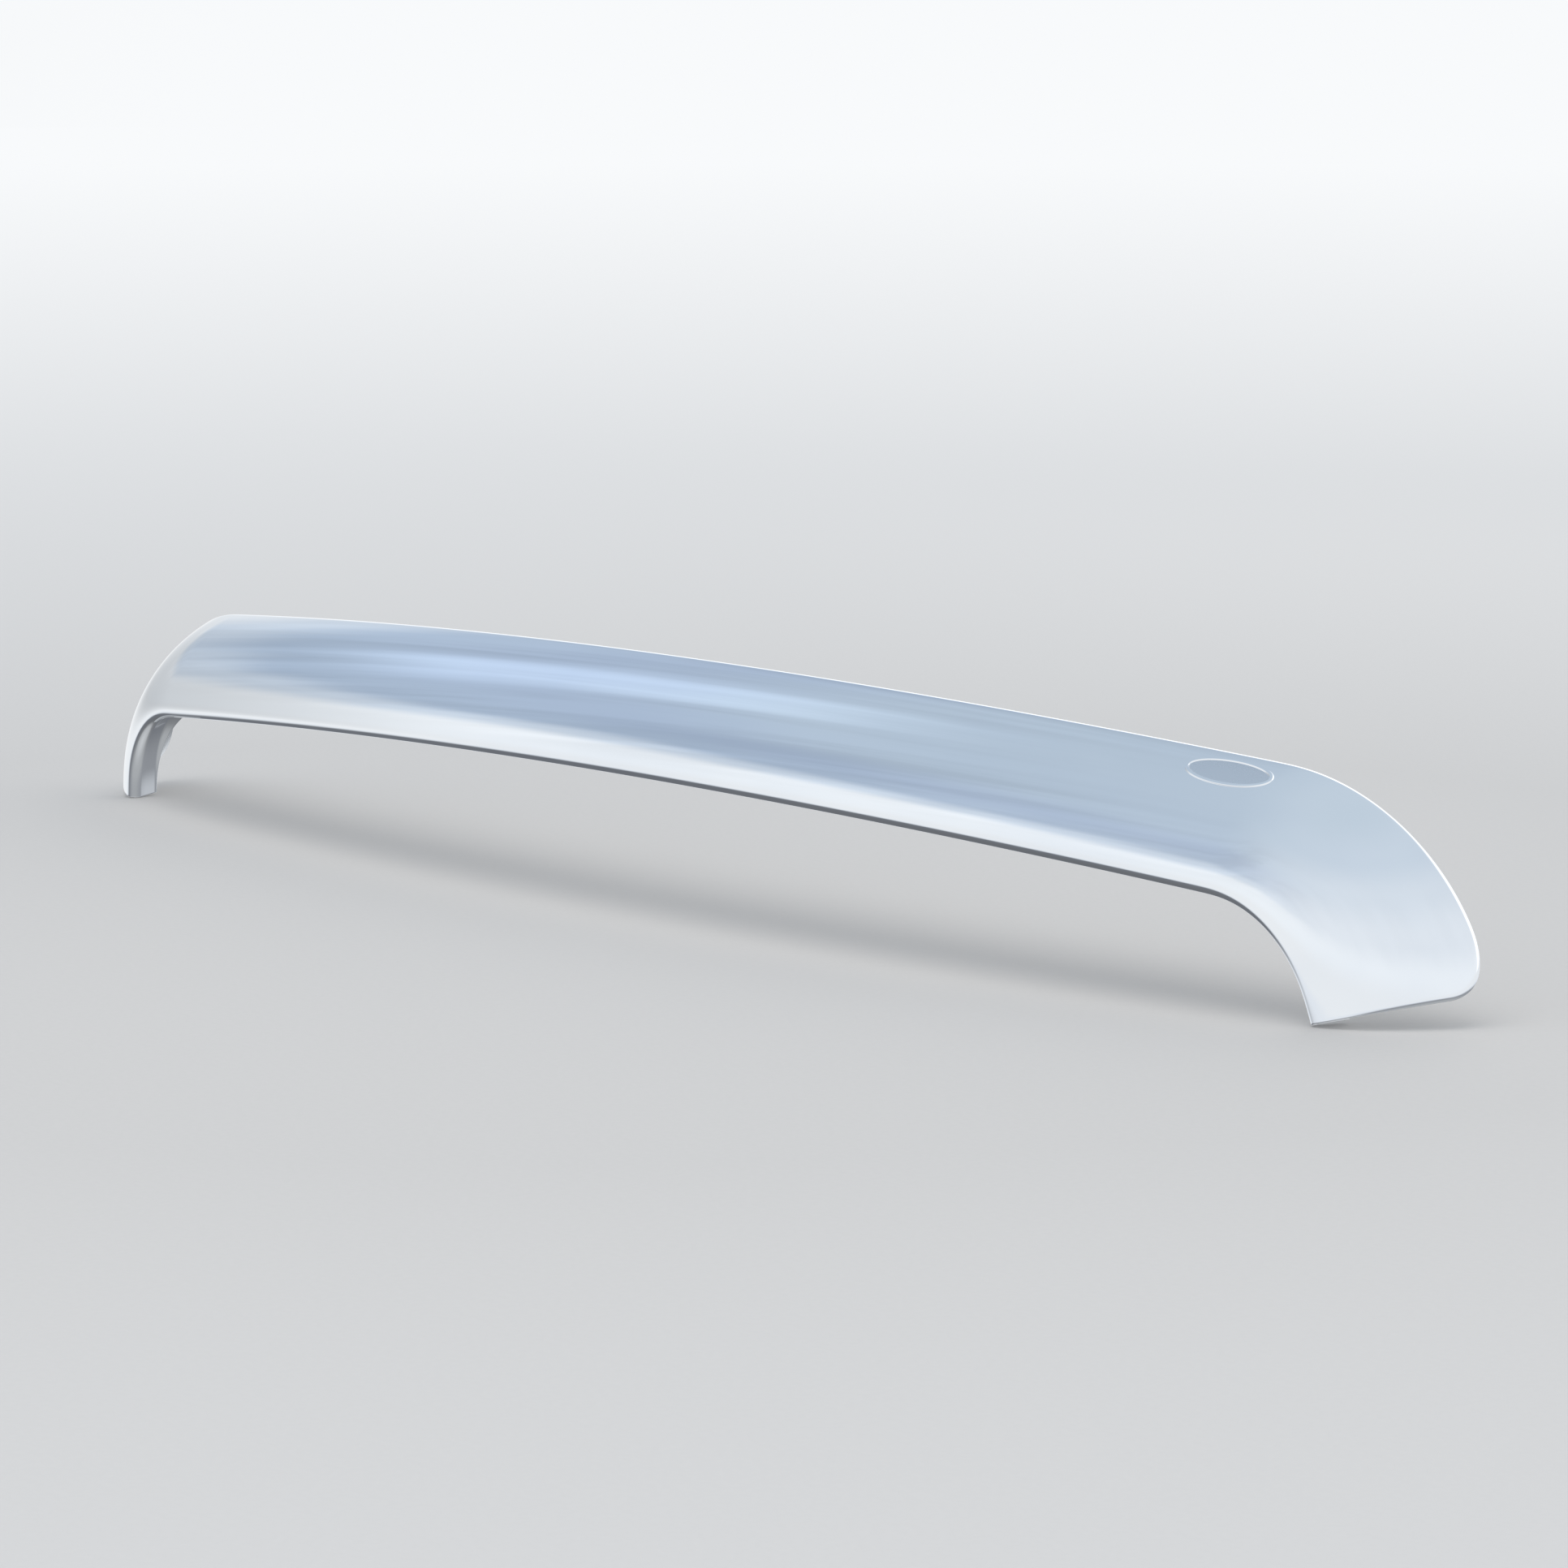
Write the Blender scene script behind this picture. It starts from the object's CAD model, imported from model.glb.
"""Looks of the wrap-around hood shield: plated shell, fixings, rubber pads and studio.

Metres, in the frame of the CAD: X is the vehicle's left, Y runs rearward, Z is up.
"""

import logging
import math
from contextlib import contextmanager
from dataclasses import dataclass, field
from enum import Enum
from typing import Callable, Iterator

import bpy
import numpy as np
from mathutils import Euler, Matrix, Vector


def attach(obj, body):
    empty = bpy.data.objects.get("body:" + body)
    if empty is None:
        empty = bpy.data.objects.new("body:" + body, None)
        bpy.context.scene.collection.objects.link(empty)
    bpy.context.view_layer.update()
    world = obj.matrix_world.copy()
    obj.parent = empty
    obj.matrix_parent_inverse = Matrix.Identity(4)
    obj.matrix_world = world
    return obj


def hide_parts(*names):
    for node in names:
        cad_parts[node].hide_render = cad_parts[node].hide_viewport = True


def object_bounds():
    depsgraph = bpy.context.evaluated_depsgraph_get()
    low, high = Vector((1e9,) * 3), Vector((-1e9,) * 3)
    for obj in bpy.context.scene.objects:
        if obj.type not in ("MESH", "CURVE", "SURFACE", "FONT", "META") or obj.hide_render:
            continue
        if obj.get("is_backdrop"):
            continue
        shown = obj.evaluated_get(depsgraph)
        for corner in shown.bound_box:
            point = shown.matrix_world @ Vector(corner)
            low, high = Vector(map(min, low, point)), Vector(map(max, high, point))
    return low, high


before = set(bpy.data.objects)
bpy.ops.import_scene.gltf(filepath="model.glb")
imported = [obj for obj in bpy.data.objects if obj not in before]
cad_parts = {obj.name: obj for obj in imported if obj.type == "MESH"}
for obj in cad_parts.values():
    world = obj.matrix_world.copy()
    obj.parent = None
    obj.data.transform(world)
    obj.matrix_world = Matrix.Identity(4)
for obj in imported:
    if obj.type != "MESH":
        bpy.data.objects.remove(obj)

Array = np.ndarray
Face = bpy.types.MeshPolygon
Material = bpy.types.Material
Piece = bpy.types.Object
Socket = bpy.types.NodeSocket
Pair = tuple[float, float]
Triple = tuple[float, float, float]
Four = tuple[float, float, float, float]
Stops = tuple[tuple[float, Triple], ...]

log = logging.getLogger("hood_shield")


class Slot(Enum):
    """Material slots of the record."""

    CHROME = "chrome_plate"
    STEEL = "screw_steel"
    NYLON = "nylon"
    CLIP = "clip_steel"
    RUBBER = "pad_rubber"


# --- Tools for modelling ---


def deselect_all() -> None:
    """Leave edit mode and select nothing."""
    if bpy.context.object is not None and bpy.context.object.mode != "OBJECT":
        bpy.ops.object.mode_set(mode="OBJECT")
    bpy.ops.object.select_all(action="DESELECT")


def pick(*pieces: Piece) -> None:
    """Select only these pieces and make the first one active.

    Args:
        pieces: the pieces to select.
    """
    deselect_all()
    for one in pieces:
        one.select_set(True)
    bpy.context.view_layer.objects.active = pieces[0]


def add(operator: Callable[..., set], **settings: object) -> Piece:
    """Add a primitive with nothing else selected.

    Args:
        operator: the operator that adds it.
        settings: its arguments.

    Returns:
        The new piece.
    """
    deselect_all()
    operator(**settings)
    return bpy.context.object


def settle(piece: Piece) -> Piece:
    """Move a piece's place into its mesh.

    Args:
        piece: the piece to settle.

    Returns:
        The same piece.
    """
    pick(piece)
    bpy.ops.object.transform_apply(location=True, rotation=True, scale=True)
    return piece


def box(size: Triple, middle: Triple | Vector = (0.0, 0.0, 0.0)) -> Piece:
    """Return a box of this size about its middle."""
    return settle(add(bpy.ops.mesh.primitive_cube_add, size=1.0, location=middle, scale=size))


def cylinder(radius: float, depth: float, middle: float, sides: int) -> Piece:
    """Return an upright cylinder on the Z axis, with its middle at a height."""
    return settle(add(bpy.ops.mesh.primitive_cylinder_add, vertices=sides, radius=radius, depth=depth,
                      location=(0.0, 0.0, middle)))


@contextmanager
def editing(piece: Piece, wanted: Callable[..., bool], edges: bool = False) -> Iterator[None]:
    """Edit a mesh with only the wanted faces or edges selected, while the block lasts.

    Args:
        piece: the piece to edit.
        wanted: says for each face or edge whether it is selected.
        edges: True to choose among the edges.

    Returns:
        A context that leaves edit mode at its end.
    """
    pick(piece)
    bpy.context.tool_settings.mesh_select_mode = (False, edges, not edges)
    bpy.ops.object.mode_set(mode="EDIT")
    bpy.ops.mesh.select_all(action="DESELECT")
    bpy.ops.object.mode_set(mode="OBJECT")
    for part in piece.data.edges if edges else piece.data.polygons:
        part.select = wanted(part)
    bpy.ops.object.mode_set(mode="EDIT")
    yield
    bpy.ops.object.mode_set(mode="OBJECT")


def looks_up(face: Face) -> bool:
    """Say whether a face looks up."""
    return face.normal.z > 0.9


def face_outwards(piece: Piece, cap: bool = False) -> None:
    """Merge doubles and turn all faces of a closed mesh outwards.

    Args:
        piece: the piece to mend.
        cap: True to fill its open ends first.
    """
    pick(piece)
    bpy.ops.object.mode_set(mode="EDIT")
    bpy.ops.mesh.select_all(action="SELECT")
    bpy.ops.mesh.remove_doubles(threshold=1e-6)
    if cap:
        bpy.ops.mesh.fill_holes(sides=0)
    bpy.ops.mesh.normals_make_consistent(inside=False)
    bpy.ops.object.mode_set(mode="OBJECT")


def apply_modifier(piece: Piece, kind: str, **settings: object) -> None:
    """Add one modifier, set it up and apply it.

    Args:
        piece: the piece to change.
        kind: the modifier's type.
        settings: its properties by name.
    """
    pick(piece)
    bpy.ops.object.modifier_add(type=kind)
    modifier = piece.modifiers[-1]
    for name, value in settings.items():
        setattr(modifier, name, value)
    bpy.ops.object.modifier_apply(modifier=modifier.name)


def round_edges(piece: Piece, width: float, segments: int, angle: float = 40.0) -> None:
    """Round every edge sharper than the angle.

    Args:
        piece: the piece to change.
        width: width of the rounding.
        segments: number of faces across it.
        angle: smallest edge angle that is rounded, in degrees.
    """
    apply_modifier(piece, "BEVEL", width=width, segments=segments, limit_method="ANGLE",
                   angle_limit=math.radians(angle), miter_outer="MITER_ARC")


def cut_with(piece: Piece, cutter: Piece, operation: str, crossing: bool = False) -> None:
    """Join or cut the piece with another one, which is then removed.

    Args:
        piece: the piece that stays.
        cutter: the piece that is used up.
        operation: UNION or DIFFERENCE.
        crossing: True where the cutter's own parts cross each other.
    """
    apply_modifier(piece, "BOOLEAN", operation=operation, object=cutter, solver="EXACT", use_self=crossing)
    bpy.data.objects.remove(cutter, do_unlink=True)


def join(*pieces: Piece) -> Piece:
    """Join the pieces into the first one.

    Args:
        pieces: the pieces, the first of which stays.

    Returns:
        The joined piece.
    """
    pick(*pieces)
    bpy.ops.object.join()
    return pieces[0]


def coat(piece: Piece, *finishes: Material) -> None:
    """Give a piece its finishes, the first of them on all its faces."""
    for finish in finishes:
        piece.data.materials.append(finish)


def dress(piece: Piece, node: str, slot: Slot, smooth_angle: float = 32.0) -> None:
    """Shade a piece, put it on the body and let it stand for its CAD node.

    Args:
        piece: the finished visual piece.
        node: the CAD node that it replaces.
        slot: the record's material slot.
        smooth_angle: edges below this angle are shaded smooth, in degrees.
    """
    pick(piece)
    bpy.ops.object.shade_smooth_by_angle(angle=math.radians(smooth_angle))
    deselect_all()
    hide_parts(node)
    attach(piece, "root")
    log.info("%s replaces %s: %d faces", piece.name, node, len(piece.data.polygons))


def dress_copies(model: Piece, name: str, node: str, finish: Material, slot: Slot,
                 places: list[Matrix]) -> None:
    """Dress a copy of the model, with a mesh of its own, at each place and remove the model.

    Args:
        model: the piece that is copied.
        name: name of the copies, which are numbered from 1.
        node: name of the CAD nodes that they replace, numbered alike.
        finish: their finish.
        slot: the record's material slot.
        places: where the copies go.
    """
    coat(model, finish)
    for number, place in enumerate(places, 1):
        twin = model.copy()
        twin.data = model.data.copy()
        twin.name = twin.data.name = f"{name}_{number}"
        bpy.context.scene.collection.objects.link(twin)
        twin.matrix_world = place
        dress(settle(twin), f"{node}_{number}", slot)
    bpy.data.objects.remove(model, do_unlink=True)


# --- Node trees ---


@dataclass(frozen=True)
class Pattern:
    """Noise: waves per unit, number of finer layers, their strength and a factor on each axis."""

    scale: float
    detail: float = 2.0
    roughness: float = 0.5
    stretch: Triple = (1.0, 1.0, 1.0)


class Bench:
    """A node tree, with short ways to add and join its nodes."""

    def __init__(self, tree: bpy.types.NodeTree, coordinates: str) -> None:
        """Take a tree and the name of the coordinates that its patterns read."""
        self.tree = tree
        self.coordinates = self.wire("TexCoord", coordinates, {})

    def feed(self, target: Socket, value: object) -> None:
        """Link a socket to an input, or set the input's own value.

        Args:
            target: the input.
            value: a socket or a plain value.
        """
        if isinstance(value, Socket):
            self.tree.links.new(value, target)
        else:
            target.default_value = value

    def wire(self, kind: str, output: str | int, inputs: dict[str | int, object],
             **settings: object) -> Socket:
        """Add a node, set it up and feed its inputs.

        Args:
            kind: the node's type.
            output: the output that is used.
            inputs: sockets or plain values by input.
            settings: the node's own properties by name.

        Returns:
            The output.
        """
        node = self.tree.nodes.new("ShaderNode" + kind)
        for name, value in settings.items():
            setattr(node, name, value)
        for name, value in inputs.items():
            self.feed(node.inputs[name], value)
        return node.outputs[output]

    def noise(self, pattern: Pattern) -> Socket:
        """Return a noise pattern, from 0 to 1."""
        place = self.wire("Mapping", "Vector", {"Scale": pattern.stretch, "Vector": self.coordinates})
        return self.wire("TexNoise", "Fac", {"Scale": pattern.scale, "Detail": pattern.detail,
                                             "Roughness": pattern.roughness, "Vector": place})

    def math(self, operation: str, *values: Socket | float) -> Socket:
        """Return the result of a Math node on sockets or numbers in order."""
        return self.wire("Math", 0, dict(enumerate(values)), operation=operation)

    def length(self, source: Socket) -> Socket:
        """Return the length of a vector."""
        return self.wire("VectorMath", "Value", {0: source}, operation="LENGTH")

    def levels(self, source: Socket, start: float, end: float, low: float, high: float) -> Socket:
        """Return a value eased from low to high as the source goes from start to end."""
        return self.wire("MapRange", "Result", {"Value": source, "From Min": start, "From Max": end,
                                                "To Min": low, "To Max": high},
                         interpolation_type="SMOOTHSTEP")

    def clouds(self, pattern: Pattern, low: float = 0.0, high: float = 1.0, start: float = 0.3,
               end: float = 0.7) -> Socket:
        """Return noise eased from low to high between two of its levels."""
        return self.levels(self.noise(pattern), start, end, low, high)

    def window(self, source: Socket, start: float, full: float, fade: float, end: float) -> Socket:
        """Return a value that eases from 0 at start to 1 at full, and back from fade to end."""
        return self.math("MULTIPLY", self.levels(source, start, full, 0.0, 1.0),
                         self.levels(source, fade, end, 1.0, 0.0))

    def blend(self, amount: Socket, first: Triple | Socket, second: Triple | Socket) -> Socket:
        """Return a colour between two, the first one at 0 and the second one at 1."""
        a, b = ((*end, 1.0) if isinstance(end, tuple) else end for end in (first, second))
        return self.wire("Mix", "Result", {"A": a, "B": b, "Factor": amount}, data_type="RGBA")

    def ramp(self, height: Socket, stops: Stops) -> Socket:
        """Return a colour by elevation.

        Args:
            height: elevation in radians.
            stops: elevations in degrees with their colours.

        Returns:
            The colour.
        """
        share = self.math("MULTIPLY_ADD", height, 1.0 / math.pi, 0.5)
        result = self.wire("ValToRGB", "Color", {"Fac": share})
        ramp = result.node.color_ramp
        ramp.interpolation = "EASE"
        for _ in stops[2:]:
            ramp.elements.new(0.5)
        for element, (angle, _) in zip(ramp.elements, stops):
            element.position = (angle + 90.0) / 180.0
        for element, (_, colour) in zip(ramp.elements, stops):
            element.color = (*colour, 1.0)
        return result


class MaterialBench(Bench):
    """The node tree of a new material, on object coordinates."""

    def __init__(self, name: str) -> None:
        """Make the material with a Principled shader.

        Args:
            name: its name.
        """
        self.material = bpy.data.materials.new(name)
        self.material.use_nodes = True
        super().__init__(self.material.node_tree, "Object")
        self.shader = self.tree.nodes["Principled BSDF"]

    def bump(self, pattern: Pattern, height: float, **under: Socket) -> Socket:
        """Return a normal raised by noise of a full height in metres, over another Normal if given."""
        return self.wire("Bump", "Normal", {"Distance": height, "Strength": 1.0,
                                            "Height": self.noise(pattern), **under})

    def shade(self, **values: object) -> Material:
        """Feed the shader's inputs.

        Args:
            values: sockets or plain values by input, with _ for a space.

        Returns:
            The material.
        """
        for name, value in values.items():
            self.feed(self.shader.inputs[name.replace("_", " ")], value)
        return self.material


# --- Finishes ---


@dataclass(frozen=True)
class MirrorPlating:
    """Bright plating on the show side: moulding waves under it, faint haze and hairlines on it.

    The plain field inside the oval relief is frosted.
    """

    oval: Matrix
    bright: Triple = (0.86, 0.885, 0.91)
    hazed: Triple = (0.82, 0.85, 0.885)
    frosted: Triple = (0.68, 0.71, 0.75)
    gloss: Pair = (0.012, 0.035)
    hairline_gloss: float = 0.02
    frosted_gloss: float = 0.24
    haze: Pattern = Pattern(7.0, 3.0, 0.55, (0.5, 1.6, 1.6))
    haze_levels: Pair = (0.42, 0.68)
    hairlines: Pattern = Pattern(900.0, 2.0, 0.6, (0.02, 1.0, 1.0))
    hairline_levels: Pair = (0.6, 0.75)
    waves: Pattern = Pattern(13.0, 1.0, 0.4, (0.35, 1.0, 1.0))
    wave_height: float = 0.00030
    peel: Pattern = Pattern(420.0)
    peel_height: float = 0.0000011

    def make(self) -> Material:
        """Return the material.

        Returns:
            The material.
        """
        bench = MaterialBench("mirror_plating")
        haze = bench.clouds(self.haze, 0.0, 1.0, *self.haze_levels)
        frost = self.inside_oval(bench)
        colour = bench.blend(haze, self.bright, self.hazed)
        hairlines = bench.clouds(self.hairlines, 0.0, 1.0, *self.hairline_levels)
        gloss = bench.math("ADD", bench.levels(haze, 0.0, 1.0, *self.gloss),
                           bench.math("MULTIPLY", hairlines, self.hairline_gloss))
        gloss = bench.math("ADD", gloss, bench.math("MULTIPLY", frost, self.frosted_gloss))
        waves = bench.bump(self.waves, self.wave_height)
        return bench.shade(Metallic=1.0, Base_Color=bench.blend(frost, colour, self.frosted),
                           Roughness=gloss, Normal=bench.bump(self.peel, self.peel_height, Normal=waves))

    def inside_oval(self, bench: MaterialBench) -> Socket:
        """Return the oval's mask.

        Args:
            bench: the material's nodes.

        Returns:
            1 inside the oval and 0 outside.
        """
        place, turn, scale = self.oval.decompose()
        spot = bench.wire("Mapping", "Vector", {"Location": place, "Rotation": turn.to_euler(),
                                                "Scale": scale, "Vector": bench.coordinates},
                          vector_type="TEXTURE")
        return bench.levels(bench.length(spot), 0.97, 1.0, 1.0, 0.0)


@dataclass(frozen=True)
class PlainFinish:
    """Two close tones in clouds, patches of uneven gloss and a fine grain."""

    name: str
    tones: tuple[Triple, Triple]
    metallic: float
    gloss: Pair
    clouds: Pattern
    patches: Pattern
    grain: Pattern
    grain_height: float

    def make(self) -> Material:
        """Return the material.

        Returns:
            The material.
        """
        bench = MaterialBench(self.name)
        return bench.shade(Metallic=self.metallic,
                           Base_Color=bench.blend(bench.clouds(self.clouds), *self.tones),
                           Roughness=bench.clouds(self.patches, *self.gloss),
                           Normal=bench.bump(self.grain, self.grain_height))


@dataclass(frozen=True)
class StageFinish:
    """Pale studio floor that brightens into the background with distance."""

    near: Triple = (0.55, 0.537, 0.524)
    speckle: Pattern = Pattern(260.0)
    speckle_tone: float = 0.985
    far: Triple = (0.94, 0.955, 0.97)
    fade_start: float = 0.8
    fade_reach: float = 2.2
    fade_gain: float = 1.14

    def make(self) -> Material:
        """Return the material.

        Returns:
            The material.
        """
        bench = MaterialBench("studio_floor")
        speckled = tuple(self.speckle_tone * c for c in self.near)
        bench.shade(Roughness=0.9, Specular_IOR_Level=0.1,
                    Base_Color=bench.blend(bench.clouds(self.speckle), self.near, speckled))
        away = bench.length(bench.coordinates)
        past = bench.math("MULTIPLY", bench.math("SUBTRACT", away, self.fade_start), self.fade_gain)
        fade = bench.wire("Math", 0, {0: past, 1: bench.math("ADD", away, self.fade_reach)},
                          operation="DIVIDE", use_clamp=True)
        glow = bench.wire("Emission", "Emission", {"Color": (*self.far, 1.0)})
        mixed = bench.wire("MixShader", "Shader", {"Fac": fade, 1: bench.shader.outputs["BSDF"], 2: glow})
        bench.feed(bench.tree.nodes["Material Output"].inputs["Surface"], mixed)
        return bench.material


SATIN_PLATING = PlainFinish("satin_plating", ((0.74, 0.755, 0.77), (0.60, 0.62, 0.64)), 1.0, (0.30, 0.44),
                            Pattern(16.0, 4.0, 0.6), Pattern(60.0, 3.0), Pattern(1400.0), 0.000018)
ZINC = PlainFinish("zinc_plated_steel", ((0.60, 0.61, 0.63), (0.47, 0.49, 0.52)), 1.0, (0.24, 0.42),
                   Pattern(240.0, 4.0, 0.6), Pattern(552.0, 3.0), Pattern(5200.0, 3.0, 0.6), 0.000006)
BLACK_NYLON = PlainFinish("black_nylon", ((0.018, 0.018, 0.019), (0.030, 0.030, 0.031)), 0.0, (0.42, 0.58),
                          Pattern(180.0, 4.0, 0.6), Pattern(414.0, 3.0), Pattern(3800.0, 3.0, 0.6), 0.00001)
PHOSPHATE = PlainFinish("phosphated_spring_steel", ((0.050, 0.051, 0.054), (0.090, 0.090, 0.094)), 0.75,
                        (0.38, 0.60), Pattern(150.0, 4.0, 0.6), Pattern(345.0, 3.0),
                        Pattern(4200.0, 3.0, 0.6), 0.000008)
SOFT_RUBBER = PlainFinish("soft_rubber", ((0.022, 0.022, 0.022), (0.040, 0.039, 0.038)), 0.0, (0.70, 0.88),
                          Pattern(220.0, 4.0, 0.6), Pattern(506.0, 3.0), Pattern(2600.0, 3.0, 0.6), 0.00003)


# --- Form of the shell ---


def smooth(t: Array) -> Array:
    """Return the smooth step of t, held to 0..1."""
    t = np.clip(t, 0.0, 1.0)
    return t * t * (3.0 - 2.0 * t)


def smooth_area(t: Array) -> Array:
    """Return the area under the smooth step from 0 to t."""
    t = np.clip(t, 0.0, 1.0)
    return t ** 3 - 0.5 * t ** 4


@dataclass
class LipLine:
    """Line of the lower lip: a shallow crown, then a corner that turns down into the wing."""

    crown_radius: float = 6.9
    corner_start: float = 0.5
    corner_radius: float = 0.07
    corner_ease: float = 0.024
    wing_turn: float = math.radians(75.0)
    sweep_slope: float = 0.13
    sweep_run: float = 0.52
    step: float = 0.00025
    spare: float = 0.05
    half_length: float = field(init=False)

    def __post_init__(self) -> None:
        """Sum the line in short steps from the centre to a little beyond the wing's end."""
        corner = self.corner_radius * (self.wing_turn - self.corner_start / self.crown_radius)
        self.half_length = self.corner_start + corner + self.corner_ease
        middles = np.arange(0.0, self.half_length + self.spare, self.step) + 0.5 * self.step
        turn = self.turn(middles)
        slope = self.sweep_slope * np.minimum(middles / self.sweep_run, 1.0)
        moves = np.stack([np.cos(turn), slope, -np.sin(turn)], axis=1) * self.step
        self._walk = np.concatenate([[0.0], middles + 0.5 * self.step])
        self._points = np.concatenate([np.zeros((1, 3)), np.cumsum(moves, axis=0)])

    def turn(self, s: Array) -> Array:
        """Return the angle of the outward direction from straight up.

        Args:
            s: distance along the lip from the centre, not negative.

        Returns:
            The angle in radians.
        """
        past = np.maximum(s - self.corner_start, 0.0)
        length = self.half_length - self.corner_start
        ease = self.corner_ease
        rise = ease * smooth_area(past / ease)
        held = np.clip(past - ease, 0.0, length - 2.0 * ease)
        last = np.clip(past - length + ease, 0.0, ease)
        fall = last - ease * smooth_area(last / ease)
        crown = np.minimum(s, self.corner_start) / self.crown_radius
        return crown + (rise + held + fall) / self.corner_radius

    def point(self, s: Array) -> Array:
        """Return points of the lip.

        Args:
            s: signed distances along the lip.

        Returns:
            One row for each of them.
        """
        far = np.abs(s)
        columns = [np.interp(far, self._walk, self._points[:, k]) for k in range(3)]
        columns[0] = columns[0] * np.where(s < 0.0, -1.0, 1.0)
        return np.stack(columns, axis=-1)

    def outward(self, s: Array) -> Array:
        """Return the outward direction in the front view.

        Args:
            s: signed distances along the lip.

        Returns:
            One row for each of them.
        """
        turn = self.turn(np.abs(s))
        side = np.where(s < 0.0, -1.0, 1.0)
        return np.stack([side * np.sin(turn), np.zeros_like(turn), np.cos(turn)], axis=-1)


@dataclass
class ShellForm:
    """The shell's outer skin by station and section, in the part's frame.

    A station s is a signed distance along the lip. A share runs along the face, from 0 at the
    lip to 1 at the upper edge.
    """

    line: LipLine = field(default_factory=LipLine)
    wall: float = 0.003
    lip_radius: float = 0.005
    lip_angle: float = math.radians(4.0)
    edge_angle: float = math.radians(68.0)
    face_power: float = 0.6
    face_rise: float = 0.0675
    face_set_centre: float = 0.060
    face_set_wing: float = 0.074
    flange_depth: float = 0.044
    flange_wing_depth: float = 0.024
    flange_taper_start: float = 0.452
    flange_lift: float = 0.005
    ramp_angle: float = math.radians(22.5)
    fix_stations: Pair = (0.170, 0.430)
    fix_depth: float = 0.028
    boss_height: float = 0.0052
    steps: int = 400
    nudge: float = 0.0005
    share_nudge: float = 0.005

    def __post_init__(self) -> None:
        """Trace the face's outline, scale it to its set and rise, and find the part's origin."""
        angle = self.face_angle((np.arange(self.steps) + 0.5) / self.steps)
        y = np.concatenate([[0.0], np.cumsum(np.sin(angle))])
        n = np.concatenate([[0.0], np.cumsum(np.cos(angle))])
        lip_y = self.lip_radius * (1.0 - math.cos(self.lip_angle))
        lip_n = self.lip_radius * (1.0 + math.sin(self.lip_angle))
        self._y = lip_y + y * (self.face_set_centre - lip_y) / y[-1]
        self._n = lip_n + n * (self.face_rise - lip_n) / n[-1]
        self._shares = np.linspace(0.0, 1.0, self.steps + 1)
        self._roll_start = -math.pi / 2.0 - self.ramp_angle
        self.origin = np.zeros(3)
        middle = self.fix_point(np.array([self.fix_stations[0]]))[0]
        self.origin = np.array([0.0, middle[1], middle[2] + self.boss_height / 2.0])

    def face_angle(self, share: Array) -> Array:
        """Return the elevation of the face's outward normal at a share."""
        return self.lip_angle + (self.edge_angle - self.lip_angle) * share ** self.face_power

    def place(self, s: Array, y: Array, n: Array) -> Array:
        """Return points at a station, a distance behind the lip and a distance outward from it.

        Args:
            s: stations.
            y: distances rearward.
            n: distances outward.

        Returns:
            One row for each point.
        """
        rear = np.stack([np.zeros_like(y), y, np.zeros_like(y)], axis=-1)
        return self.line.point(s) + rear + self.line.outward(s) * n[..., None] - self.origin

    def stretch(self, s: Array) -> Array:
        """Return the rearward stretch of the section, which grows towards the wing."""
        share = smooth(self.line.turn(np.abs(s)) / self.line.wing_turn)
        return 1.0 + (self.face_set_wing / self.face_set_centre - 1.0) * share

    def face_point(self, s: Array, share: Array) -> Array:
        """Return points of the outer face.

        Args:
            s: stations.
            share: shares.

        Returns:
            One row for each point.
        """
        y = np.interp(share, self._shares, self._y)
        n = np.interp(share, self._shares, self._n)
        return self.place(s, self.stretch(s) * y, n)

    def face_along(self, s: Array, share: Array) -> Array:
        """Return short steps along the face, across each point."""
        return self.face_point(s + self.nudge, share) - self.face_point(s - self.nudge, share)

    def face_normal(self, s: Array, share: Array) -> Array:
        """Return outward unit normals of the face.

        Args:
            s: stations.
            share: shares.

        Returns:
            One row for each point.
        """
        low = np.maximum(share - self.share_nudge, 0.0)
        high = np.minimum(share + self.share_nudge, 1.0)
        normal = np.cross(self.face_along(s, share), self.face_point(s, high) - self.face_point(s, low))
        return normal / np.linalg.norm(normal, axis=-1, keepdims=True)

    def lengths(self, s: Array) -> Array:
        """Return how far each step of the face lies from the lip, one row for each station."""
        steps = np.hypot(np.diff(self._y) * self.stretch(s)[:, None], np.diff(self._n))
        return np.cumsum(np.pad(steps, ((0, 0), (1, 0))), axis=1)

    def share_below_edge(self, s: Array, below: Array) -> Array:
        """Return the shares that lie at distances below the upper edge, along the face."""
        return np.array([np.interp(run[-1] - drop, run, self._shares)
                         for run, drop in zip(self.lengths(s), below)])

    def rolled(self, s: Array, share: Array) -> Array:
        """Return points of the small roll under the lip, from the ramp at 0 to the face at 1."""
        y, n = self.roll_section(share)
        return self.place(s, self.stretch(s) * y, n)

    def roll_section(self, share: Array) -> tuple[Array, Array]:
        """Return the roll's section before it is stretched, as distances rearward and outward."""
        angle = self._roll_start + share * (self.lip_angle - self._roll_start)
        return self.lip_radius * (1.0 - np.cos(angle)), self.lip_radius * (1.0 + np.sin(angle))

    def ramp_top(self, s: Array) -> Array:
        """Return how far behind the lip the ramp meets the flange.

        Args:
            s: stations.

        Returns:
            The distances.
        """
        y, n = self.roll_section(np.zeros_like(s))
        k = self.stretch(s)
        angle = np.arctan2(k * math.sin(self._roll_start), math.cos(self._roll_start))
        return k * y + (self.flange_lift - n) / np.tan(-angle - math.pi / 2.0)

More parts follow.
